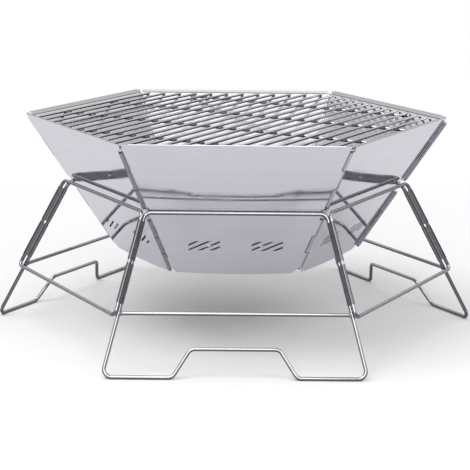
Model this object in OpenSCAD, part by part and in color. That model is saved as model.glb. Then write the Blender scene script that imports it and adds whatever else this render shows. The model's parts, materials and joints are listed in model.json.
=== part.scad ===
// Folding fire pit: a six-sided sheet steel bowl on a folding wire stand.
// The bowl's panels are hinged at their corners, and the stand's wire loops are hinged at the legs,
// so both fold flat like a screen. A plate, a grate and a cooking net lie loose in the bowl.
// X runs to the right, Y to the back, Z up. The origin is on the floor, under the middle of the bowl.

/* [Bowl] */
// Corner radius of the rim, to the middle of the sheet
rim_radius = 235; // [215:1:250]
// Corner radius of the bottom edge, to the middle of the sheet
base_radius = 134; // [120:1:145]
// Height from the bottom edge to the rim
bowl_depth = 151; // [135:1:165]
// Thickness of the panel sheet
sheet = 0.8; // [0.6:0.1:1]
// Depth of the folded hem along the rim
hem_depth = 5; // [3:0.5:7]
// How far the hem stops short of the panel's corners
hem_inset = 9; // [8:0.5:14]
// How far a panel's bottom edge bows down at its middle
base_bow = 3; // [1:0.5:5]
// Size of the cut-off bottom corners of a panel
base_chamfer = 5; // [3:0.5:8]

/* [Corner hinges] */
// Diameter of the hinge pins
pin_d = 2.4; // [2:0.1:3]
// Radial clearance of a pin in its knuckles
pin_clearance = 0.08; // [0.04:0.01:0.1]
// How far a knuckle's wall is rolled proud of the sheet
roll_proud = 0.1; // [0.06:0.02:0.2]
// Gap between the ends of neighbouring knuckles
knuckle_gap = 0.8; // [0.6:0.1:1.5]
// Gap between a panel's edge and its neighbour's knuckle
edge_clearance = 0.5; // [0.4:0.1:0.8]
// Knuckles in each of the two groups along a corner
group_knuckles = 3; // [3:2:5]
// Bare stretch of the corner where the stand's ring passes
ring_gap = 18; // [16:1:24]
// Distance from the rim to the first knuckle
rim_margin = 8; // [7:0.5:12]
// Distance from the bottom edge to the last knuckle
base_margin = 6; // [5:0.5:10]
// Diameter of a pin's riveted head
head_d = 3.6; // [3.2:0.1:4]
// Height of a pin's riveted head
head_h = 0.9; // [0.6:0.1:1.2]
// Clearance either side of the pin in the mouth of a hook
hook_clearance = 0.3; // [0.2:0.1:0.5]

/* [Vents] */
// Width of a vent
vent_w = 33; // [24:1:36]
// Height of a vent along the panel
vent_h = 13; // [9:0.5:16]
// Distance between the middles of a panel's two vents
vent_spacing = 66; // [56:1:72]
// Height of a vent's middle above the bottom edge, along the panel
vent_height = 38; // [32:1:44]
// Width of one slit of a vent
slit_w = 2.1; // [1.5:0.1:3]
// Distance between slits along the panel's width
slit_pitch = 12.3; // [10:0.1:13]
// Slope of the slits
slit_angle = 30; // [25:1:40]

/* [Stand] */
// Diameter of the stand's wire
wire_d = 4; // [3:0.1:4.5]
// Height of the ring's wire above the floor
stand_height = 156; // [145:1:170]
// How far below the rim the ring holds the bowl
seat_depth = 78; // [68:1:88]
// Gap between the bowl and the ring that carries it
seat_gap = 0.3; // [0.2:0.1:0.6]
// Corner radius of the three feet
foot_radius = 268; // [245:1:280]
// Length of the small loops down a leg
small_drop = 111; // [110:1:122]
// How far the cross bars lie above the small loops' bottom rods, along the slope
cross_bar_rise = 3.5; // [0:0.5:5]
// Height of the raised middle of a foot
jog_height = 29; // [20:1:36]
// Width of the raised middle at its top
jog_top = 90; // [70:1:110]
// Width of the raised middle at the floor
jog_base = 126; // [120:1:150]
// Bend radius of the ring and foot corners
bend_r = 8; // [6:0.5:9]
// Bend radius at the bottom of the small loops
small_bend_r = 5; // [4:0.5:6]
// Bend radius in the raised middle of a foot
jog_bend_r = 8; // [5:0.5:10]
// How much thicker the wire is in its bends
bend_swell = 0.04; // [0.02:0.01:0.06]

/* [Leg sleeves] */
// Distance between the two wires of a leg
leg_pitch = 5.7; // [5.6:0.1:6.2]
// How far a leg's wires are turned from side by side to one outside the other
leg_twist = 90; // [85:1:95]
// Thickness of the rolled sleeve sheet
sleeve_sheet = 0.35; // [0.25:0.05:0.4]
// Radial clearance of a wire in its sleeve
sleeve_clearance = 0.06; // [0.04:0.01:0.08]
// How much a sleeve is pinched in between its two wires, on each side
sleeve_pinch = 0.8; // [0.3:0.05:1]
// Length of one sleeve
sleeve_len = 42; // [36:1:43]
// Distance from the ring to the top of the upper sleeve
sleeve_top = 9.5; // [9:0.5:12]
// Gap between the upper and the lower sleeve
sleeve_gap = 4; // [4:0.5:10]
// Width of the seam where a sleeve's sheet meets
seam_w = 0.5; // [0.3:0.1:0.8]
// Clearance either side of the wire in the mouth of the open sleeves
mouth_clearance = 0.5; // [0.4:0.1:0.8]

/* [Plates] */
// Thickness of the ash plate and the charcoal grate
plate_sheet = 1; // [0.8:0.1:1.5]
// Gap between the loose pieces and the bowl's wall
wall_gap = 0.3; // [0.2:0.1:0.6]
// Height of the ash plate above the bottom edge
ash_height = 13; // [10:1:18]
// Height of the charcoal grate above the bottom edge
grate_height = 52; // [46:1:60]
// How much of a plate's corner is cut off for the hinges
corner_cut = 9; // [8:0.5:14]
// Diameter of the grate's holes
hole_d = 9; // [6:0.5:11]
// Distance between the grate's holes
hole_pitch = 24; // [22:1:28]
// Rings of holes round the middle one
hole_rings = 5; // [3:1:5]
// Diameter of the ash plate's air holes
air_d = 10; // [6:0.5:12]
// Radius of the circle of air holes
air_circle_r = 62; // [50:1:80]
// Number of air holes
air_count = 6; // [4:1:8]

/* [Cooking net] */
// Diameter of the net's bars
bar_d = 3; // [2.5:0.1:3.5]
// Number of bars
bar_count = 24; // [20:1:26]
// Diameter of the cross wires under the bars
cross_d = 3; // [2.5:0.1:3.5]
// Number of cross wires
cross_count = 4; // [3:1:4]
// Distance between the cross wires
cross_pitch = 95; // [85:1:100]
// How far the cross wires stand out past the last bar
cross_tip = 4.5; // [3:0.5:6]
// How deep the bars are welded into the cross wires
weld_depth = 0.2; // [0.1:0.05:0.3]
// Height of the rim above the bars' middle
net_drop = 5; // [4.5:0.5:8]

/* [Hidden] */
$fn = 48;

// Directions that the six sides face, counted from +X
FRONT = 270;
FRONT_RIGHT = 330;
BACK_RIGHT = 30;
BACK = 90;
BACK_LEFT = 150;
FRONT_LEFT = 210;
// Sides of a panel or loop, seen from outside: 1 is the end towards +X of its own frame
NEXT = 1;
LAST = -1;
// Side of the sheet that a corner's hinge pin lies on
OUTSIDE = 1;
INSIDE = -1;
// Ends that reach past a cut, so that faces don't coincide
over = 1;
// How far a straight wire runs on into its bends
bend_lap = 0.2;

// Bowl
half_corner = 30;
flare = rim_radius - base_radius;
panel_tilt = atan(flare * cos(half_corner) / bowl_depth);
panel_slant = bowl_depth / cos(panel_tilt);
edge_lean = atan(flare / 2 / panel_slant);
edge_len = panel_slant / cos(edge_lean);
base_z = stand_height + seat_depth - bowl_depth;
rim_z = base_z + bowl_depth;
function fold_angle(tilt) = acos(pow(cos(tilt), 2) / 2 + pow(sin(tilt), 2));
panel_fold = fold_angle(panel_tilt);
function bowl_radius(z) = base_radius + (z - base_z) * flare / bowl_depth;
function inner_apothem(z) = bowl_radius(z) * cos(half_corner) - sheet / 2 / cos(panel_tilt);
function loose_apothem(z) = inner_apothem(z) - wall_gap / cos(panel_tilt);

// Corner hinges: the pin lies pin_off from the sheet's middle, foot_shift past the panel's corner line
knuckle_r = pin_d / 2 + pin_clearance;
pin_off = knuckle_r + roll_proud + sheet / 2;
roll_r = pin_off + sheet / 2 + roll_proud / 2;
foot_shift = pin_off * tan(panel_fold / 2);
edge_cut = sqrt(pow(roll_r + edge_clearance, 2) - pow(pin_off - sheet / 2, 2));
hem_r = sheet + roll_proud / 2;
ring_on_edge = (bowl_depth - seat_depth) / cos(panel_tilt) / cos(edge_lean);
low_zone = (ring_on_edge - ring_gap / 2 - base_margin) / group_knuckles;
high_zone = (edge_len - rim_margin - ring_on_edge - ring_gap / 2) / group_knuckles;
function zone_start(i) = i < group_knuckles
    ? base_margin + i * low_zone
    : ring_on_edge + ring_gap / 2 + (i - group_knuckles) * high_zone;
function zone_len(i) = i < group_knuckles ? low_zone : high_zone;

// Stand: the large loops' ring rods carry the bowl, the small loops lie loop_step further out
ring_apothem = bowl_radius(stand_height) * cos(half_corner)
    + (wire_d / 2 + seat_gap + sheet / 2) / cos(panel_tilt);
foot_apothem = foot_radius * cos(half_corner);
loop_rise = stand_height - wire_d / 2;
loop_tilt = atan((foot_apothem - ring_apothem) / loop_rise);
loop_slant = loop_rise / cos(loop_tilt);
leg_lean = atan((foot_apothem - ring_apothem) * tan(half_corner) / loop_slant);
leg_len = loop_slant / cos(leg_lean);
loop_fold = fold_angle(loop_tilt);
loop_step = leg_pitch * sin(leg_twist) * cos(loop_fold / 2);
leg_pull = leg_pitch / 2 * cos(leg_twist) / cos(loop_fold / 2);
sleeve_turn = leg_twist - loop_fold / 2;
small_pull = leg_pull - loop_step * tan(loop_fold / 2);
small_low = loop_slant - small_drop * cos(leg_lean);
cross_bar_low = small_low + cross_bar_rise;
function leg_x(y, pull) = foot_apothem * tan(half_corner) - y * tan(leg_lean) - pull / cos(leg_lean);
sleeve_in_r = wire_d / 2 + sleeve_clearance;
sleeve_out_r = sleeve_in_r + sleeve_sheet;

// Cooking net: bars run at 60 degrees, cross wires lie under them
net_turn = 60;
net_z = rim_z - net_drop;
cross_z = net_z - (bar_d + cross_d) / 2 + weld_depth;
bar_apothem = loose_apothem(net_z - bar_d / 2);
bar_radius = bar_apothem / cos(half_corner);
cross_apothem = loose_apothem(cross_z - cross_d / 2);
cross_radius = cross_apothem / cos(half_corner);
bar_pitch = 2 * (cross_apothem - cross_tip - bar_d / 2) / (bar_count - 1);

// A panel's frame: X along its bottom edge, Y up its slope, Z outwards
module panel_frame(facing) {
    rotate([0, 0, facing + 90])
        translate([0, -base_radius * cos(half_corner), base_z])
            rotate([90 + panel_tilt, 0, 0])
                children();
}

// A panel edge's frame: X past the edge, Y up along it, Z outwards
module panel_edge(side) {
    mirror([side == LAST ? 1 : 0, 0, 0])
        translate([base_radius / 2, 0, 0])
            rotate([0, 0, -edge_lean])
                children();
}

// A round bar or hole along Y
module along_y(d, len) {
    rotate([-90, 0, 0])
        cylinder(d = d, h = len);
}

// The pin's side at one end of a panel: every second corner has it outside
function pin_side(facing, side) = (facing % 120 == BACK_RIGHT) == (side == LAST) ? OUTSIDE : INSIDE;

// Knuckles that a panel has at one end: every second zone of the corner
function own_zones(side) = [for (i = [0:2 * group_knuckles - 1]) if ((i % 2 == 0) == (side == NEXT)) i];

// Half width of the sheet without its knuckle tabs, at height y up the panel
function sheet_x(y, pin_at) = base_radius / 2 + y * tan(edge_lean)
    + (pin_at * foot_shift - edge_cut) / cos(edge_lean);

module panel_sheet(facing) {
    next_pin = pin_side(facing, NEXT);
    last_pin = pin_side(facing, LAST);
    bow_r = (pow(base_radius / 2, 2) + pow(base_bow, 2)) / 2 / base_bow;
    low = -base_bow - over;
    sheet_top = panel_slant - hem_r;
    intersection() {
        translate([0, 0, -sheet / 2])
            linear_extrude(sheet)
                polygon([[-sheet_x(low, last_pin) + base_chamfer, low],
                    [sheet_x(low, next_pin) - base_chamfer, low],
                    [sheet_x(base_chamfer, next_pin), base_chamfer],
                    [sheet_x(sheet_top, next_pin), sheet_top],
                    [-sheet_x(sheet_top, last_pin), sheet_top],
                    [-sheet_x(base_chamfer, last_pin), base_chamfer]]);
        translate([0, bow_r - base_bow, -sheet])
            cylinder(r = bow_r, h = 2 * sheet, $fn = 96);
    }
}

// Sheet folded back inwards along the rim, round a small bend
module rim_hem() {
    hem_x = rim_radius / 2 - hem_inset;
    translate([-hem_x, panel_slant - hem_depth, -sheet * 1.5])
        cube([2 * hem_x, hem_depth - hem_r, sheet * 1.5]);
    translate([-hem_x, panel_slant - hem_r, -sheet / 2])
        rotate([0, 90, 0])
            cylinder(r = hem_r, h = 2 * hem_x);
}

// Slanted slits inside the vent's rectangle
module vent_slits() {
    slits = floor((vent_w + vent_h / tan(slit_angle)) / slit_pitch);
    intersection() {
        cube([vent_w, vent_h, 4 * sheet], center = true);
        for (i = [0:slits - 1])
            translate([(i - (slits - 1) / 2) * slit_pitch, 0, 0])
                rotate([0, 0, slit_angle])
                    cube([2 * vent_w, slit_w, 4 * sheet], center = true);
    }
}

// The tabs that carry a panel's knuckles at one edge, and the rolled knuckles round the pin
module knuckles(pin_at, side) {
    panel_edge(side)
        for (i = own_zones(side)) {
            start = zone_start(i) + knuckle_gap / 2;
            len = zone_len(i) - knuckle_gap;
            translate([pin_at * foot_shift - edge_cut - over, start, -sheet / 2])
                cube([edge_cut + over, len, sheet]);
            translate([pin_at * foot_shift, start, pin_at * pin_off])
                along_y(2 * roll_r, len);
        }
}

module knuckle_bores(pin_at, side) {
    panel_edge(side)
        translate([pin_at * foot_shift, 0, pin_at * pin_off])
            along_y(2 * knuckle_r, edge_len);
}

// Mouth that turns a row of knuckles into hooks, open towards the next panel
module hook_mouths(pin_at, side) {
    mouth_w = pin_d + 2 * hook_clearance;
    panel_edge(side)
        translate([pin_at * foot_shift, 0, pin_at * pin_off])
            rotate([0, panel_fold / 2, 0])
                translate([0, 0, -mouth_w / 2])
                    cube([3 * roll_r, edge_len, mouth_w]);
}

module panel(facing, hooked = false) {
    next_pin = pin_side(facing, NEXT);
    last_pin = pin_side(facing, LAST);
    color("Gainsboro")
        panel_frame(facing)
            difference() {
                union() {
                    panel_sheet(facing);
                    rim_hem();
                    knuckles(next_pin, NEXT);
                    knuckles(last_pin, LAST);
                }
                knuckle_bores(next_pin, NEXT);
                knuckle_bores(last_pin, LAST);
                for (side = [NEXT, LAST])
                    translate([side * vent_spacing / 2, vent_height, 0])
                        vent_slits();
                if (hooked)
                    hook_mouths(next_pin, NEXT);
            }
}

// The two hinge pins at the next corner of a panel, below and above the ring, with riveted heads
module corner_pin(facing) {
    pin_at = pin_side(facing, NEXT);
    color("LightSteelBlue")
        panel_frame(facing)
            panel_edge(NEXT)
                translate([pin_at * foot_shift, 0, pin_at * pin_off])
                    for (first = [0, group_knuckles]) {
                        last = first + group_knuckles - 1;
                        low = zone_start(first) - head_h;
                        high = zone_start(last) + zone_len(last);
                        translate([0, low, 0])
                            along_y(pin_d, high + head_h - low);
                        translate([0, low, 0])
                            along_y(head_d, head_h);
                        translate([0, high, 0])
                            along_y(head_d, head_h);
                    }
}

// A loop's frame: X along the foot, Y up the slope from the floor, Z outwards
module loop_frame(facing) {
    rotate([0, 0, facing + 90])
        translate([0, -foot_apothem, wire_d / 2])
            rotate([90 - loop_tilt, 0, 0])
                children();
}

// A leg's frame: X past the loop's corner line, Y up the leg, Z outwards
module leg_frame(side) {
    mirror([side == LAST ? 1 : 0, 0, 0])
        translate([foot_apothem * tan(half_corner), 0, 0])
            rotate([0, 0, leg_lean])
                children();
}

// Straight wire between two points of a plane
module rod(a, b, d) {
    run = b - a;
    translate([a[0], a[1], 0])
        rotate([0, 0, atan2(run[1], run[0])])
            rotate([0, 90, 0])
                cylinder(d = d, h = norm(run));
}

function unit(v) = v / norm(v);
function cross_of(u, v) = u[0] * v[1] - u[1] * v[0];
function turn_of(u, v) = atan2(cross_of(u, v), u * v);
function at(list, i) = list[(i + len(list)) % len(list)];
function way_in(pts, i) = unit(at(pts, i) - at(pts, i - 1));
function way_out(pts, i) = unit(at(pts, i + 1) - at(pts, i));
function turn_at(pts, i) = turn_of(way_in(pts, i), way_out(pts, i));
function reach(pts, radii, i) = at(radii, i) * tan(abs(turn_at(pts, i)) / 2);

// Closed wire through the points of a plane, bent to a radius at each one
module wire_loop(pts, radii, d) {
    for (i = [0:len(pts) - 1]) {
        start = pts[i] + (reach(pts, radii, i) - bend_lap) * way_out(pts, i);
        end = at(pts, i + 1) - (reach(pts, radii, i + 1) - bend_lap) * way_out(pts, i);
        rod(start, end, d);
        turn = turn_at(pts, i);
        left = turn > 0 ? 1 : -1;
        u = way_in(pts, i);
        bend_start = pts[i] - reach(pts, radii, i) * u;
        middle = bend_start + left * radii[i] * [-u[1], u[0]];
        from = bend_start - middle;
        sweep = turn > 0 ? atan2(from[1], from[0]) : atan2(from[1], from[0]) + turn;
        translate([middle[0], middle[1], 0])
            rotate([0, 0, sweep])
                rotate_extrude(angle = abs(turn))
                    translate([radii[i], 0])
                        circle(d = d + bend_swell);
    }
}

// Large loop: a ring rod, two legs, and a foot with a raised middle
module large_loop(facing) {
    top = leg_x(loop_slant, leg_pull);
    foot = leg_x(0, leg_pull);
    pts = [[-top, loop_slant], [top, loop_slant], [foot, 0], [jog_base / 2, 0], [jog_top / 2, jog_height],
        [-jog_top / 2, jog_height], [-jog_base / 2, 0], [-foot, 0]];
    radii = [bend_r, bend_r, bend_r, jog_bend_r, jog_bend_r, jog_bend_r, jog_bend_r, bend_r];
    color("Silver")
        loop_frame(facing)
            wire_loop(pts, radii, wire_d);
}

// Small loop: a ring rod, two short legs and a bottom rod, outside the large loops
module small_loop(facing) {
    top = leg_x(loop_slant, small_pull);
    low = leg_x(small_low, small_pull);
    pts = [[-top, loop_slant], [top, loop_slant], [low, small_low], [-low, small_low]];
    radii = [bend_r, bend_r, small_bend_r, small_bend_r];
    color("Silver")
        loop_frame(facing)
            translate([0, 0, loop_step])
                wire_loop(pts, radii, wire_d);
}

// Rod welded between the legs of a large loop, a little above the small loops' bottom rods
module cross_bar(facing) {
    reach_x = leg_x(cross_bar_low, leg_pull);
    color("Silver")
        loop_frame(facing)
            difference() {
                rod([-reach_x, cross_bar_low], [reach_x, cross_bar_low], wire_d);
                for (side = [NEXT, LAST])
                    leg_frame(side)
                        translate([-leg_pull, 0, 0])
                            along_y(wire_d, leg_len);
            }
}

// Rolled section round two wires, pinched between them
module sleeve_section(r, len) {
    cylinder(r = r, h = len);
    translate([leg_pitch, 0, 0])
        cylinder(r = r, h = len);
    translate([0, sleeve_pinch - r, 0])
        cube([leg_pitch, 2 * (r - sleeve_pinch), len]);
}

// Sleeve round both wires of a leg, from its top down; an open one lets the inner wire out sideways
module leg_sleeve(facing, side, top, open = false) {
    mouth_w = wire_d + 2 * mouth_clearance;
    color("DarkGray")
        loop_frame(facing)
            leg_frame(side)
                translate([-leg_pull, leg_len - top - sleeve_len, 0])
                    rotate([0, -sleeve_turn, 0])
                        rotate([-90, 0, 0])
                            difference() {
                                sleeve_section(sleeve_out_r, sleeve_len);
                                translate([0, 0, -over])
                                    sleeve_section(sleeve_in_r, sleeve_len + 2 * over);
                                if (!open)
                                    translate([(leg_pitch - seam_w) / 2, -sleeve_out_r - over, -over])
                                        cube([seam_w, sleeve_out_r + over, sleeve_len + 2 * over]);
                                if (open)
                                    translate([0, 0, -over])
                                        rotate([0, 0, leg_twist + 180])
                                            translate([0, -mouth_w / 2, 0])
                                                cube([2 * leg_pitch, mouth_w, sleeve_len + 2 * over]);
                            }
}

module upper_sleeve(facing, side, open = false) {
    leg_sleeve(facing, side, sleeve_top, open);
}

module lower_sleeve(facing, side, open = false) {
    leg_sleeve(facing, side, sleeve_top + sleeve_len + sleeve_gap, open);
}

// Six-sided plate with cut-off corners that lies in the bowl at height z
module hex_plate(z) {
    corner_r = loose_apothem(z) / cos(half_corner);
    translate([0, 0, z])
        intersection() {
            cylinder(r = corner_r, h = plate_sheet, $fn = 6);
            cylinder(r = corner_r - corner_cut, h = plate_sheet, $fn = 96);
        }
}

module ash_plate() {
    z = base_z + ash_height;
    color("LightGray")
        difference() {
            hex_plate(z);
            for (i = [0:air_count - 1])
                rotate([0, 0, i * 360 / air_count])
                    translate([air_circle_r, 0, z - over])
                        cylinder(d = air_d, h = plate_sheet + 2 * over);
        }
}

module charcoal_grate() {
    z = base_z + grate_height;
    color("LightGray")
        difference() {
            hex_plate(z);
            for (row = [-hole_rings:hole_rings], col = [-hole_rings:hole_rings])
                if (abs(row + col) <= hole_rings)
                    translate([hole_pitch * (col + row / 2), hole_pitch * row * cos(half_corner), z - over])
                        cylinder(d = hole_d, h = plate_sheet + 2 * over, $fn = 32);
        }
}

module net_bars() {
    color("WhiteSmoke")
        rotate([0, 0, net_turn])
            for (i = [0:bar_count - 1]) {
                y = (i - (bar_count - 1) / 2) * bar_pitch;
                half = bar_radius - (abs(y) + bar_d / 2) * tan(half_corner);
                translate([-half, y, net_z])
                    rotate([0, 90, 0])
                        cylinder(d = bar_d, h = 2 * half);
            }
}

module net_cross_wires() {
    color("WhiteSmoke")
        rotate([0, 0, net_turn])
            for (i = [0:cross_count - 1]) {
                x = (i - (cross_count - 1) / 2) * cross_pitch;
                half = min(cross_apothem, (cross_radius - abs(x) - cross_d / 2) / tan(half_corner));
                translate([x, -half, cross_z])
                    along_y(cross_d, 2 * half);
            }
}

panel(FRONT);  // panel_front
panel(FRONT_RIGHT);  // panel_front_right
panel(BACK_RIGHT, hooked = true);  // panel_back_right
panel(BACK);  // panel_back
panel(BACK_LEFT);  // panel_back_left
panel(FRONT_LEFT);  // panel_front_left
corner_pin(FRONT);  // pin_front_right
corner_pin(FRONT_RIGHT);  // pin_right
corner_pin(BACK_RIGHT);  // pin_back_right
corner_pin(BACK);  // pin_back_left
corner_pin(BACK_LEFT);  // pin_left
corner_pin(FRONT_LEFT);  // pin_front_left
large_loop(FRONT);  // loop_front
large_loop(BACK_RIGHT);  // loop_back_right
large_loop(BACK_LEFT);  // loop_back_left
cross_bar(FRONT);  // cross_bar_front
cross_bar(BACK_RIGHT);  // cross_bar_back_right
cross_bar(BACK_LEFT);  // cross_bar_back_left
small_loop(FRONT_RIGHT);  // loop_front_right
small_loop(BACK);  // loop_back
small_loop(FRONT_LEFT);  // loop_front_left
upper_sleeve(FRONT, NEXT);  // sleeve_upper_front_right
lower_sleeve(FRONT, NEXT);  // sleeve_lower_front_right
upper_sleeve(BACK_RIGHT, LAST);  // sleeve_upper_right
lower_sleeve(BACK_RIGHT, LAST);  // sleeve_lower_right
upper_sleeve(BACK_RIGHT, NEXT, open = true);  // sleeve_upper_back_right
lower_sleeve(BACK_RIGHT, NEXT, open = true);  // sleeve_lower_back_right
upper_sleeve(BACK_LEFT, LAST);  // sleeve_upper_back_left
lower_sleeve(BACK_LEFT, LAST);  // sleeve_lower_back_left
upper_sleeve(BACK_LEFT, NEXT);  // sleeve_upper_left
lower_sleeve(BACK_LEFT, NEXT);  // sleeve_lower_left
upper_sleeve(FRONT, LAST);  // sleeve_upper_front_left
lower_sleeve(FRONT, LAST);  // sleeve_lower_front_left
ash_plate();
charcoal_grate();
net_bars();
net_cross_wires();
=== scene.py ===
import json
import math

import bpy
from mathutils import Matrix, Vector

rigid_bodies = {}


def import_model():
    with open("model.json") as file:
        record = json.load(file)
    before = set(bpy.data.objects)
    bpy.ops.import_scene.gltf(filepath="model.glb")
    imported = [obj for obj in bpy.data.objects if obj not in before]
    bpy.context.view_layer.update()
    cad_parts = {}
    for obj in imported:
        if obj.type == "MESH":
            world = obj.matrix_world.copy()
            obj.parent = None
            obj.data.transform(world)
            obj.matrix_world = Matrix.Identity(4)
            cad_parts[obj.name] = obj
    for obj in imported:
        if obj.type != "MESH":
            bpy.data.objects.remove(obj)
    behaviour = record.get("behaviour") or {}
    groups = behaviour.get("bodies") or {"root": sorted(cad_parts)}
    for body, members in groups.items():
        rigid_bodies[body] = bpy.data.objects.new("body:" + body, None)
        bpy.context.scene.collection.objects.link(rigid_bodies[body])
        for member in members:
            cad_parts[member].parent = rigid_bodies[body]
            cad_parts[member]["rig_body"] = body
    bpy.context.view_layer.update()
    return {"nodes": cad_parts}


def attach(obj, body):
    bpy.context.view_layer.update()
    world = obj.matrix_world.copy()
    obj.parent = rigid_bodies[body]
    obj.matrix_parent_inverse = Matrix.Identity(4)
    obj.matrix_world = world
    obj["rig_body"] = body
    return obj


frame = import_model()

NODES = frame["nodes"]
MM = 0.001


def grey(level, blue=0.0):
    return (level, level, level + blue, 1)


# Sides, with the turn of each about Z, and corners, both anticlockwise from the front
SIDES = ("front", "front_right", "back_right", "back", "back_left", "front_left")
SIDE_TURN = {side: i * 360 / len(SIDES) for i, side in enumerate(SIDES)}
CROSS_BAR_SIDES = ("front", "back_right", "back_left")
CORNERS = ("front_right", "right", "back_right", "back_left", "left", "front_left")

# Bowl
RIM_RADIUS = 235 * MM
BASE_RADIUS = 134 * MM
BOWL_DEPTH = 151 * MM
BASE_Z = 83 * MM
HEM_Z = 229.7 * MM
HALF_CORNER = math.radians(30)
FLARE = (RIM_RADIUS - BASE_RADIUS) / BOWL_DEPTH

# Cooking net
NET_TURN = 60
BAR_D = 3 * MM
BAR_COUNT = 24
CROSS_COUNT = 4
CROSS_PITCH = 95 * MM

# Welds and rivets
COLLAR_R = 3.1 * MM
COLLAR_SIDES = 18
COLLAR_BASE = 0.8 * MM
COLLAR_STEPS = ((0.8 * MM, 0.94), (0.9 * MM, 0.86), (0.8 * MM, 0.88))
COLLAR_START = 1.2 * MM
COLLAR_RIPPLE = 0.16 * MM
COLLAR_SEED = 5
FACES_UP = 0.9
NUGGET_R = 2.2 * MM
NUGGET_SHAPE = (1, 0.9, 0.5)
NUGGET_RIPPLE = 0.12 * MM
NUGGET_SEED = 9
RIVET_R = 1.78 * MM
RIVET_RISE = 0.42
RIVET_CREASE = math.radians(50)
EDGES_APART = 0.3 * MM

# How strongly a panel's sheet sags between its sides
SAG = {"front": 1.3, "back": 0.9}
SLIGHT_SAG = 0.2

# Shades of the sheet, and how much of each shade is laid over the ones before
SHEET_DARK = (0.525, 0.515, 0.575, 1)
SHEET_LIGHT = (0.6, 0.59, 0.65, 1)
SMUDGE_SHADE, SMUDGE_SHARE = (0.48, 0.47, 0.52, 1), 0.25
INSIDE_SHADE = (0.8, 0.79, 0.82, 1)
HEM_SHADE, HEM_SHARE = (0.28, 0.28, 0.3, 1), 0.45
# Painted shade on the rolled knuckle tubes
KNUCKLE_PAINTED_SHADE, KNUCKLE_SHARE = (0.1, 0.1, 0.12, 1), 0.4
# Painted shade in the seams between panels and along the fold at the foot of the hem
PAINTED_GAP_SHADE, SEAM_SHARE, FOLD_SHARE = (0.08, 0.08, 0.1, 1), 0.45, 0.7

# Where those shades begin and where they are full
EDGE_SPAN = (-0.2 * MM, 0.2 * MM)
KNUCKLE_SPAN = (0.8 * MM, 1.2 * MM)
SEAM_SPAN = (-0.8 * MM, -0.4 * MM)
FOLD_WIDTH = 1.0 * MM
FOLD_SPAN = (-0.3 * MM, 0.3 * MM)

# Painted shade of the wire's underside, and shades of its dark and light clouds
STAND_SHADES = (grey(0.12, 0.02), grey(0.36, 0.02), grey(0.5, 0.03))
NET_SHADES = (grey(0.02), grey(0.46, 0.02), grey(0.66, 0.02))
PIN_SHADES = (grey(0.14, 0.02), grey(0.3, 0.02), grey(0.42, 0.02))
# Span over which the wire turns from its painted underside shade to its painted top light as the
# surface faces up
PAINTED_LIGHT_SPAN = (-0.1, 0.35)
PIT_SHADE, PIT_SHARE = grey(0.2), 0.35

# Shades of the sleeves, plates and welds
SLEEVE_DARK, SLEEVE_LIGHT = grey(0.1, 0.01), grey(0.26, 0.02)
SLEEVE_CLOUD, SLEEVE_CLOUD_SHARE = grey(0.12, 0.02), 0.4
PLATE_DARK, PLATE_LIGHT = grey(0.24, 0.01), grey(0.34, 0.01)
STAIN_SHADE, STAIN_SHARE = (0.2, 0.19, 0.18, 1), 0.4
WELD_STRAW, WELD_BLUE = (0.3, 0.27, 0.22, 1), (0.2, 0.21, 0.27, 1)

# Directions in which grain and rub marks are drawn out
SHEET_GRAIN = (6, 420, 420)
SLEEVE_RUBS = (500, 500, 40)
PLATE_GRAIN = (8, 500, 500)

# Studio: a floor that turns white away from the object, a room that metal mirrors, and lamps
FLOOR_RADIUS = 14
FLOOR_SIDES = 96
FLOOR_DARK, FLOOR_LIGHT = grey(0.93), grey(0.95)
WHITE_SPAN = (0.3, 0.9)
WHITE = grey(1)
PLAIN_LIGHT = grey(0.72)
SKIRTING, WALLS, CEILING = grey(0.02, 0.01), grey(0.85), grey(1.2)
WALLS_SPAN = (0.15, 0.28)
CEILING_SPAN = (0.55, 0.75)
LAMP_TARGET = Vector((0, 0, 0.15))
# Name, place, size in metres and watts
LAMPS = (
    ("top", Vector((-0.7, -0.5, 2.3)), 1.4, 20),
    ("front", Vector((-0.3, -2.2, 1.3)), 1.2, 12),
    ("side", Vector((1.5, -1.1, 1.6)), 0.9, 5),
)

# Camera at the photograph's viewing point
FRAME_PX = 470
FOCAL_PX = 1680.14
CENTRE_PX = (1.365, -17.492)
AIM = Vector((1.23, 0, 116.97)) * MM
DISTANCE = 1890.7 * MM
TILT = math.radians(90 - 12.228)
ROLL = math.radians(0.608)
OBJECT_TURN = math.radians(0.356)
SENSOR_WIDTH = 36
VIEW_END = 100


class Signal:
    """A shader socket that Python maths can be done with: each step adds a Math node."""

    def __init__(self, finish, socket):
        self.finish = finish
        self.socket = socket

    def step(self, operation, first, second):
        return self.finish.node("ShaderNodeMath", {"operation": operation}, {0: first, 1: second})

    def __add__(self, other):
        return self.step("ADD", self, other)

    def __radd__(self, other):
        return self.step("ADD", other, self)

    def __sub__(self, other):
        return self.step("SUBTRACT", self, other)

    def __rsub__(self, other):
        return self.step("SUBTRACT", other, self)

    def __mul__(self, other):
        return self.step("MULTIPLY", self, other)

    def __rmul__(self, other):
        return self.step("MULTIPLY", other, self)

    def __abs__(self):
        return self.step("ABSOLUTE", self, 0)


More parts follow.
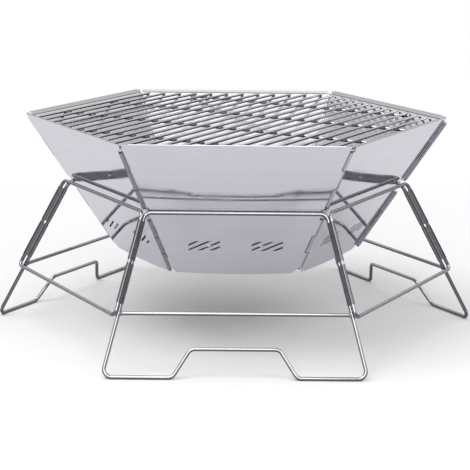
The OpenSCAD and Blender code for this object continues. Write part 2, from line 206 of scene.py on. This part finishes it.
class Finish:
    """The nodes of one material, or of the world."""

    def __init__(self, owner, output="ShaderNodeOutputMaterial"):
        self.owner = owner
        owner.use_nodes = True
        self.tree = owner.node_tree
        self.tree.nodes.clear()
        self.output = self.tree.nodes.new(output)

    def node(self, kind, settings=None, sockets=None, out=0):
        made = self.tree.nodes.new(kind)
        for key, value in (settings or {}).items():
            setattr(made, key, value)
        for key, value in (sockets or {}).items():
            if isinstance(value, Signal):
                self.tree.links.new(value.socket, made.inputs[key])
            else:
                made.inputs[key].default_value = value
        return Signal(self, made.outputs[out])

    def outlet(self, signal, name):
        """Another output of the node that a signal comes from."""
        return Signal(self, signal.socket.node.outputs[name])

    def place(self, turn=0, stretch=(1, 1, 1)):
        """The piece's own coordinates in metres, turned back about Z and then stretched."""
        coords = self.node("ShaderNodeTexCoord", out="Object")
        turned = self.node("ShaderNodeMapping", {"vector_type": "TEXTURE"},
                           {"Vector": coords, "Rotation": (0, 0, math.radians(turn))})
        return self.node("ShaderNodeVectorMath", {"operation": "MULTIPLY"}, {0: turned, 1: stretch})

    def split(self, vector):
        along = self.node("ShaderNodeSeparateXYZ", None, {0: vector}, out="X")
        return along, self.outlet(along, "Y"), self.outlet(along, "Z")

    def upward(self):
        """How far the surface faces up in the piece's own frame, from -1 to 1."""
        return self.split(self.node("ShaderNodeTexCoord", out="Normal"))[2]

    def noise(self, where, scale=1.0, detail=2.0, rough=0.5):
        return self.node("ShaderNodeTexNoise", None,
                         {"Vector": where, "Scale": scale, "Detail": detail, "Roughness": rough})

    def ramp(self, value, span):
        """0 below the span, 1 above it."""
        return self.node("ShaderNodeMapRange", None,
                         {"Value": value, "From Min": span[0], "From Max": span[1]})

    def rays(self, *kinds):
        """1 for light paths of any of these kinds, 0 for the others."""
        path = self.node("ShaderNodeLightPath")
        other = 1
        for kind in kinds:
            other = other * (1 - self.outlet(path, kind))
        return 1 - other

    def blend(self, share, first, second):
        """A colour between the first and the second."""
        return self.node("ShaderNodeMix", {"data_type": "RGBA"},
                         {0: share, 6: first, 7: second}, out=2)

    def bump(self, height, depth, strength=1.0, normal=None):
        sockets = {"Height": height, "Distance": depth, "Strength": strength}
        if normal is not None:
            sockets["Normal"] = normal
        return self.node("ShaderNodeBump", None, sockets)

    def shown(self, shader):
        self.tree.links.new(shader.socket, self.output.inputs["Surface"])
        return self.owner

    def metal(self, colour, roughness, normal):
        return self.shown(self.node("ShaderNodeBsdfPrincipled", None, {
            "Base Color": colour,
            "Metallic": 1.0,
            "Roughness": roughness,
            "Normal": normal,
        }))


def polished_sheet(name, turn, sag):
    """Bowl sheet: near-mirror outside, paler satin inside, darker at hem, with painted shade on the
    knuckles, in the seams and along the hem fold.

    Faint grain, soft waves and smudges break up the shine. A sag bends the sheet between its
    sides, so that mirrored lines hang through in the middle."""
    finish = Finish(bpy.data.materials.new(name))
    along, across, height = finish.split(finish.place(turn))
    grain = finish.noise(finish.place(turn, SHEET_GRAIN), detail=3.0)
    waves = finish.noise(finish.place(), scale=9.0, detail=1.0)
    blots = finish.noise(finish.place(), scale=22.0, detail=4.0, rough=0.6)
    smudge = finish.ramp(blots, (0.45, 0.75))

    radius = height * FLARE + (BASE_RADIUS - BASE_Z * FLARE)
    depth = across + radius * math.cos(HALF_CORNER)
    inside = finish.ramp(depth, EDGE_SPAN)
    hem = finish.ramp(height - HEM_Z, EDGE_SPAN)
    # Mask of the painted shade on the knuckle tubes
    knuckle = finish.ramp(abs(depth), KNUCKLE_SPAN) * (1 - hem)
    # Masks of the painted shade along the hem fold and in the seams between panels
    fold = inside * hem * finish.ramp(HEM_Z + FOLD_WIDTH - height, FOLD_SPAN)
    seam = finish.ramp(abs(along) - radius * math.sin(HALF_CORNER), SEAM_SPAN)
    seam_and_fold_shade = 1 - (1 - seam * SEAM_SHARE) * (1 - fold * FOLD_SHARE)

    colour = finish.blend(grain, SHEET_DARK, SHEET_LIGHT)
    colour = finish.blend(smudge * SMUDGE_SHARE, colour, SMUDGE_SHADE)
    colour = finish.blend(inside, colour, INSIDE_SHADE)
    colour = finish.blend(inside * hem * HEM_SHARE, colour, HEM_SHADE)
    # Painted shade on the knuckle tubes
    colour = finish.blend(knuckle * KNUCKLE_SHARE, colour, KNUCKLE_PAINTED_SHADE)
    # Painted shade in the seams and along the hem fold
    colour = finish.blend(seam_and_fold_shade, colour, PAINTED_GAP_SHADE)
    normal = finish.bump(along * along * height, depth=sag)
    normal = finish.bump(waves, depth=2.2 * MM, strength=0.15, normal=normal)
    normal = finish.bump(grain, depth=0.02 * MM, strength=0.1, normal=normal)
    roughness = 0.03 + 0.03 * grain + 0.05 * smudge + 0.15 * inside + 0.2 * seam
    return finish.metal(colour, roughness, normal)


def drawn_wire(name, under, dark, light):
    """Drawn wire with cloudy shade and gloss and small pits, with painted light on top and painted
    shade below.
    """
    finish = Finish(bpy.data.materials.new(name))
    cloud = finish.noise(finish.place(), scale=140.0, detail=3.0)
    pits = finish.ramp(finish.noise(finish.place(), scale=900.0), (0.62, 0.74))
    # Painted shade on the underside and painted light on top
    painted_top_light = finish.ramp(finish.upward(), PAINTED_LIGHT_SPAN)
    colour = finish.blend(painted_top_light, under, finish.blend(cloud, dark, light))
    colour = finish.blend(pits * PIT_SHARE, colour, PIT_SHADE)
    normal = finish.bump(cloud - pits * 0.6, depth=0.08 * MM, strength=0.2)
    return finish.metal(colour, 0.03 + 0.08 * cloud + 0.15 * pits, normal)


def rolled_sleeve(name):
    """Thin rolled sleeve steel, darker than the wire, with rub marks along the leg."""
    finish = Finish(bpy.data.materials.new(name))
    rubs = finish.noise(finish.place(stretch=SLEEVE_RUBS), detail=3.0, rough=0.6)
    cloud = finish.noise(finish.place(), scale=60.0)
    colour = finish.blend(rubs, SLEEVE_DARK, SLEEVE_LIGHT)
    colour = finish.blend(cloud * SLEEVE_CLOUD_SHARE, colour, SLEEVE_CLOUD)
    normal = finish.bump(rubs, depth=0.06 * MM, strength=0.3)
    return finish.metal(colour, 0.1 + 0.12 * rubs, normal)


def satin_plate(name):
    """Satin steel plate with a fine even grain and faint stains."""
    finish = Finish(bpy.data.materials.new(name))
    grain = finish.noise(finish.place(stretch=PLATE_GRAIN), detail=3.0)
    blots = finish.noise(finish.place(), scale=14.0, detail=4.0, rough=0.6)
    stain = finish.ramp(blots, (0.4, 0.8))
    colour = finish.blend(grain, PLATE_DARK, PLATE_LIGHT)
    colour = finish.blend(stain * STAIN_SHARE, colour, STAIN_SHADE)
    normal = finish.bump(grain, depth=0.03 * MM, strength=0.3)
    return finish.metal(colour, 0.24 + 0.16 * grain + 0.1 * stain, normal)


def weld_metal(name):
    """Weld beads: ripples, and a straw to blue heat tint."""
    finish = Finish(bpy.data.materials.new(name))
    tint = finish.noise(finish.place(), scale=260.0)
    ripple = finish.noise(finish.place(), scale=1300.0, detail=3.0)
    colour = finish.blend(tint, WELD_STRAW, WELD_BLUE)
    normal = finish.bump(ripple, depth=0.1 * MM, strength=0.5)
    return finish.metal(colour, 0.2 + 0.25 * ripple, normal)


def pale_floor(name):
    """Matt pale floor that keeps the shadow near the object and runs out to plain white."""
    finish = Finish(bpy.data.materials.new(name))
    speck = finish.noise(finish.place(), scale=30.0)
    matt = finish.node("ShaderNodeBsdfPrincipled", None, {
        "Base Color": finish.blend(speck, FLOOR_DARK, FLOOR_LIGHT),
        "Roughness": 0.9,
        "Specular IOR Level": 0.0,
    })
    white = finish.node("ShaderNodeEmission", None, {"Strength": 1.0})
    spread = finish.node("ShaderNodeVectorMath", {"operation": "LENGTH"},
                         {0: finish.place()}, out="Value")
    seen = finish.rays("Is Camera Ray", "Is Glossy Ray", "Is Transmission Ray")
    far = finish.ramp(spread, WHITE_SPAN) * seen
    return finish.shown(finish.node("ShaderNodeMixShader", None, {0: far, 1: matt, 2: white}))


def studio_sky(name):
    """White to the camera, and plain light on the object.

    Shiny surfaces mirror a room with a dim skirting, bright walls and a brighter ceiling."""
    sky = Finish(bpy.data.worlds.new(name), "ShaderNodeOutputWorld")
    height = sky.split(sky.node("ShaderNodeTexCoord", out="Generated"))[2]
    room = sky.blend(sky.ramp(height, WALLS_SPAN), SKIRTING, WALLS)
    room = sky.blend(sky.ramp(height, CEILING_SPAN), room, CEILING)
    colour = sky.blend(sky.rays("Is Glossy Ray"), PLAIN_LIGHT, room)
    colour = sky.blend(sky.rays("Is Camera Ray", "Is Transmission Ray"), colour, WHITE)
    return sky.shown(sky.node("ShaderNodeBackground", None, {"Color": colour, "Strength": 1.0}))


def give(material, *pieces):
    for piece in pieces:
        piece.data.materials.clear()
        piece.data.materials.append(material)


def nodes_named(*starts):
    return [node for name, node in NODES.items() if name.startswith(starts)]


def only(piece):
    bpy.ops.object.select_all(action="DESELECT")
    piece.select_set(True)
    bpy.context.view_layer.objects.active = piece


def set_out(master, places, name, carrier, material):
    """Copies of a master at the given places, joined into one piece that moves with a node."""
    copies = []
    for place in places:
        only(master)
        bpy.ops.object.duplicate()
        copy = bpy.context.object
        copy.matrix_world = place
        copies.append(copy)
    only(copies[0])
    for copy in copies:
        copy.select_set(True)
    bpy.ops.object.join()
    piece = bpy.context.object
    bpy.ops.object.transform_apply(location=True, rotation=True, scale=True)
    piece.name = name
    piece.data.name = name
    give(material, piece)
    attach(piece, NODES[carrier]["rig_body"])


def pick_top(mesh):
    """Selects the faces that look up, in edit mode."""
    bpy.ops.object.mode_set(mode="EDIT")
    bpy.ops.mesh.select_mode(type="FACE")
    bpy.ops.mesh.select_all(action="DESELECT")
    bpy.ops.object.mode_set(mode="OBJECT")
    for face in mesh.polygons:
        face.select = face.normal.z > FACES_UP
    bpy.ops.object.mode_set(mode="EDIT")


def weld_collar():
    """Bead of weld metal round the end of a bar, drawn in step by step along +Z."""
    bpy.ops.mesh.primitive_cylinder_add(vertices=COLLAR_SIDES, radius=COLLAR_R, depth=COLLAR_BASE)
    collar = bpy.context.object
    pick_top(collar.data)
    for step, draw_in in COLLAR_STEPS:
        bpy.ops.mesh.extrude_region_move(TRANSFORM_OT_translate={"value": (0, 0, step)})
        bpy.ops.transform.resize(value=(draw_in, draw_in, 1))
    bpy.ops.mesh.select_all(action="SELECT")
    bpy.ops.transform.vertex_random(offset=COLLAR_RIPPLE, normal=1, seed=COLLAR_SEED)
    bpy.ops.object.mode_set(mode="OBJECT")
    bpy.ops.object.modifier_add(type="SUBSURF")
    smoothing = collar.modifiers[-1]
    smoothing.levels = 1
    smoothing.render_levels = 1
    bpy.ops.object.modifier_apply(modifier=smoothing.name)
    bpy.ops.object.shade_smooth()
    return collar


def weld_nugget():
    """Flat oval drop of weld metal between a bar and the wire under it."""
    bpy.ops.mesh.primitive_uv_sphere_add(segments=10, ring_count=6, radius=NUGGET_R)
    nugget = bpy.context.object
    bpy.ops.object.mode_set(mode="EDIT")
    bpy.ops.mesh.select_all(action="SELECT")
    bpy.ops.transform.resize(value=NUGGET_SHAPE)
    bpy.ops.transform.vertex_random(offset=NUGGET_RIPPLE, normal=1, seed=NUGGET_SEED)
    bpy.ops.object.mode_set(mode="OBJECT")
    bpy.ops.object.shade_smooth()
    return nugget


def rivet_dome():
    """Domed cap of a riveted pin, on its flat face."""
    bpy.ops.mesh.primitive_uv_sphere_add(segments=20, ring_count=10, radius=RIVET_R)
    dome = bpy.context.object
    bpy.ops.object.mode_set(mode="EDIT")
    bpy.ops.mesh.select_all(action="SELECT")
    bpy.ops.mesh.bisect(plane_co=(0, 0, 0), plane_no=(0, 0, 1), use_fill=True, clear_inner=True)
    bpy.ops.mesh.select_all(action="SELECT")
    bpy.ops.transform.resize(value=(1, 1, RIVET_RISE))
    bpy.ops.object.mode_set(mode="OBJECT")
    bpy.ops.object.shade_smooth_by_angle(angle=RIVET_CREASE)
    return dome


def turned(degrees):
    return Matrix.Rotation(math.radians(degrees), 4, "Z")


def points_turned_back(name, degrees):
    """A node's points in a frame that is turned by some degrees about Z."""
    back = turned(-degrees)
    return [back @ vertex.co for vertex in NODES[name].data.vertices]


def middle(values):
    return (min(values) + max(values)) / 2


def centre(points):
    return sum(points, Vector()) / len(points)


def levels(values, apart):
    """The values in order, where those that lie close above a level count as that level."""
    found = []
    for value in sorted(values):
        if not found or value - found[-1] > apart:
            found.append(value)
    return found


def facing_along(place, along):
    """The matrix that puts a piece at a place, with its Z along a direction."""
    return Matrix.Translation(place) @ along.to_track_quat("Z", "Y").to_matrix().to_4x4()


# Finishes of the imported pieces
for side, turn in SIDE_TURN.items():
    sheet = polished_sheet("polished_sheet_" + side, turn, SAG.get(side, SLIGHT_SAG))
    give(sheet, NODES["panel_" + side])
give(drawn_wire("stand_wire", *STAND_SHADES), *nodes_named("loop_", "cross_bar_"))
give(drawn_wire("net_wire", *NET_SHADES), *nodes_named("net_"))
pin_steel = drawn_wire("pin_steel", *PIN_SHADES)
give(pin_steel, *nodes_named("pin_"))
give(rolled_sleeve("sleeve_steel"), *nodes_named("sleeve_"))
give(satin_plate("plate_steel"), NODES["ash_plate"], NODES["charcoal_grate"])
weld_steel = weld_metal("weld_steel")

# Weld beads at both ends of each cross bar
collar = weld_collar()
for side in CROSS_BAR_SIDES:
    bar = points_turned_back("cross_bar_" + side, SIDE_TURN[side])
    reach = max(p.x for p in bar) - COLLAR_START
    y, z = middle([p.y for p in bar]), middle([p.z for p in bar])
    places = []
    for end in (-1, 1):
        bead = facing_along(Vector((end * reach, y, z)), Vector((-end, 0, 0)))
        places.append(turned(SIDE_TURN[side]) @ bead)
    set_out(collar, places, "weld_cross_bar_" + side, "cross_bar_" + side, weld_steel)
bpy.data.objects.remove(collar)

# Weld nuggets where the net's bars cross the wires under them
bars = points_turned_back("net_bars", NET_TURN)
wires = points_turned_back("net_cross_wires", NET_TURN)
bar_pitch = (2 * max(p.y for p in bars) - BAR_D) / (BAR_COUNT - 1)
weld_z = middle([middle([p.z for p in bars]), middle([p.z for p in wires])])
places = []
for i in range(BAR_COUNT):
    y = (i - (BAR_COUNT - 1) / 2) * bar_pitch
    bar_reach = max(abs(p.x) for p in bars if abs(p.y - y) < BAR_D)
    for j in range(CROSS_COUNT):
        x = (j - (CROSS_COUNT - 1) / 2) * CROSS_PITCH
        wire_reach = max(abs(p.y) for p in wires if abs(p.x - x) < BAR_D)
        if abs(x) + NUGGET_R < bar_reach and abs(y) + NUGGET_R < wire_reach:
            places.append(turned(NET_TURN) @ Matrix.Translation((x, y, weld_z)))
nugget = weld_nugget()
set_out(nugget, places, "weld_net", "net_bars", weld_steel)
bpy.data.objects.remove(nugget)

# Domed rivet heads on the hinge pins, four at each corner
dome = rivet_dome()
for corner in CORNERS:
    pin = [vertex.co for vertex in NODES["pin_" + corner].data.vertices]
    half_way = middle([p.z for p in pin])
    low = centre([p for p in pin if p.z < half_way])
    high = centre([p for p in pin if p.z > half_way])
    along = (high - low).normalized()
    # Each of the two pins has four edges along its axis, two for either head
    edges = levels([(p - low).dot(along) for p in pin], EDGES_APART)
    ends = ((edges[0], -1), (edges[3], 1), (edges[4], -1), (edges[7], 1))
    places = [facing_along(low + along * edge, along * way) for edge, way in ends]
    set_out(dome, places, "rivet_heads_" + corner, "pin_" + corner, pin_steel)
bpy.data.objects.remove(dome)

# Floor and soft studio light
bpy.ops.mesh.primitive_circle_add(vertices=FLOOR_SIDES, radius=FLOOR_RADIUS, fill_type="NGON")
floor = bpy.context.object
floor.name = "floor"
give(pale_floor("floor_pale"), floor)

scene = bpy.context.scene
scene.view_settings.view_transform = "Standard"
scene.world = studio_sky("studio")
for name, place, size, watts in LAMPS:
    lamp = bpy.data.lights.new(name, "AREA")
    lamp.shape = "SQUARE"
    lamp.size = size
    lamp.energy = watts
    holder = bpy.data.objects.new(name, lamp)
    scene.collection.objects.link(holder)
    holder.matrix_world = facing_along(place, place - LAMP_TARGET)

# Camera
lens = bpy.data.cameras.new("camera")
lens.sensor_width = SENSOR_WIDTH
lens.lens = FOCAL_PX / FRAME_PX * SENSOR_WIDTH
lens.shift_x = -CENTRE_PX[0] / FRAME_PX
lens.shift_y = CENTRE_PX[1] / FRAME_PX
lens.clip_end = VIEW_END
camera = bpy.data.objects.new("camera", lens)
scene.collection.objects.link(camera)
camera.matrix_world = (
    Matrix.Rotation(-OBJECT_TURN, 4, "Z")
    @ Matrix.Translation(AIM)
    @ Matrix.Rotation(TILT, 4, "X")
    @ Matrix.Rotation(ROLL, 4, "Z")
    @ Matrix.Translation((0, 0, DISTANCE))
)
scene.camera = camera
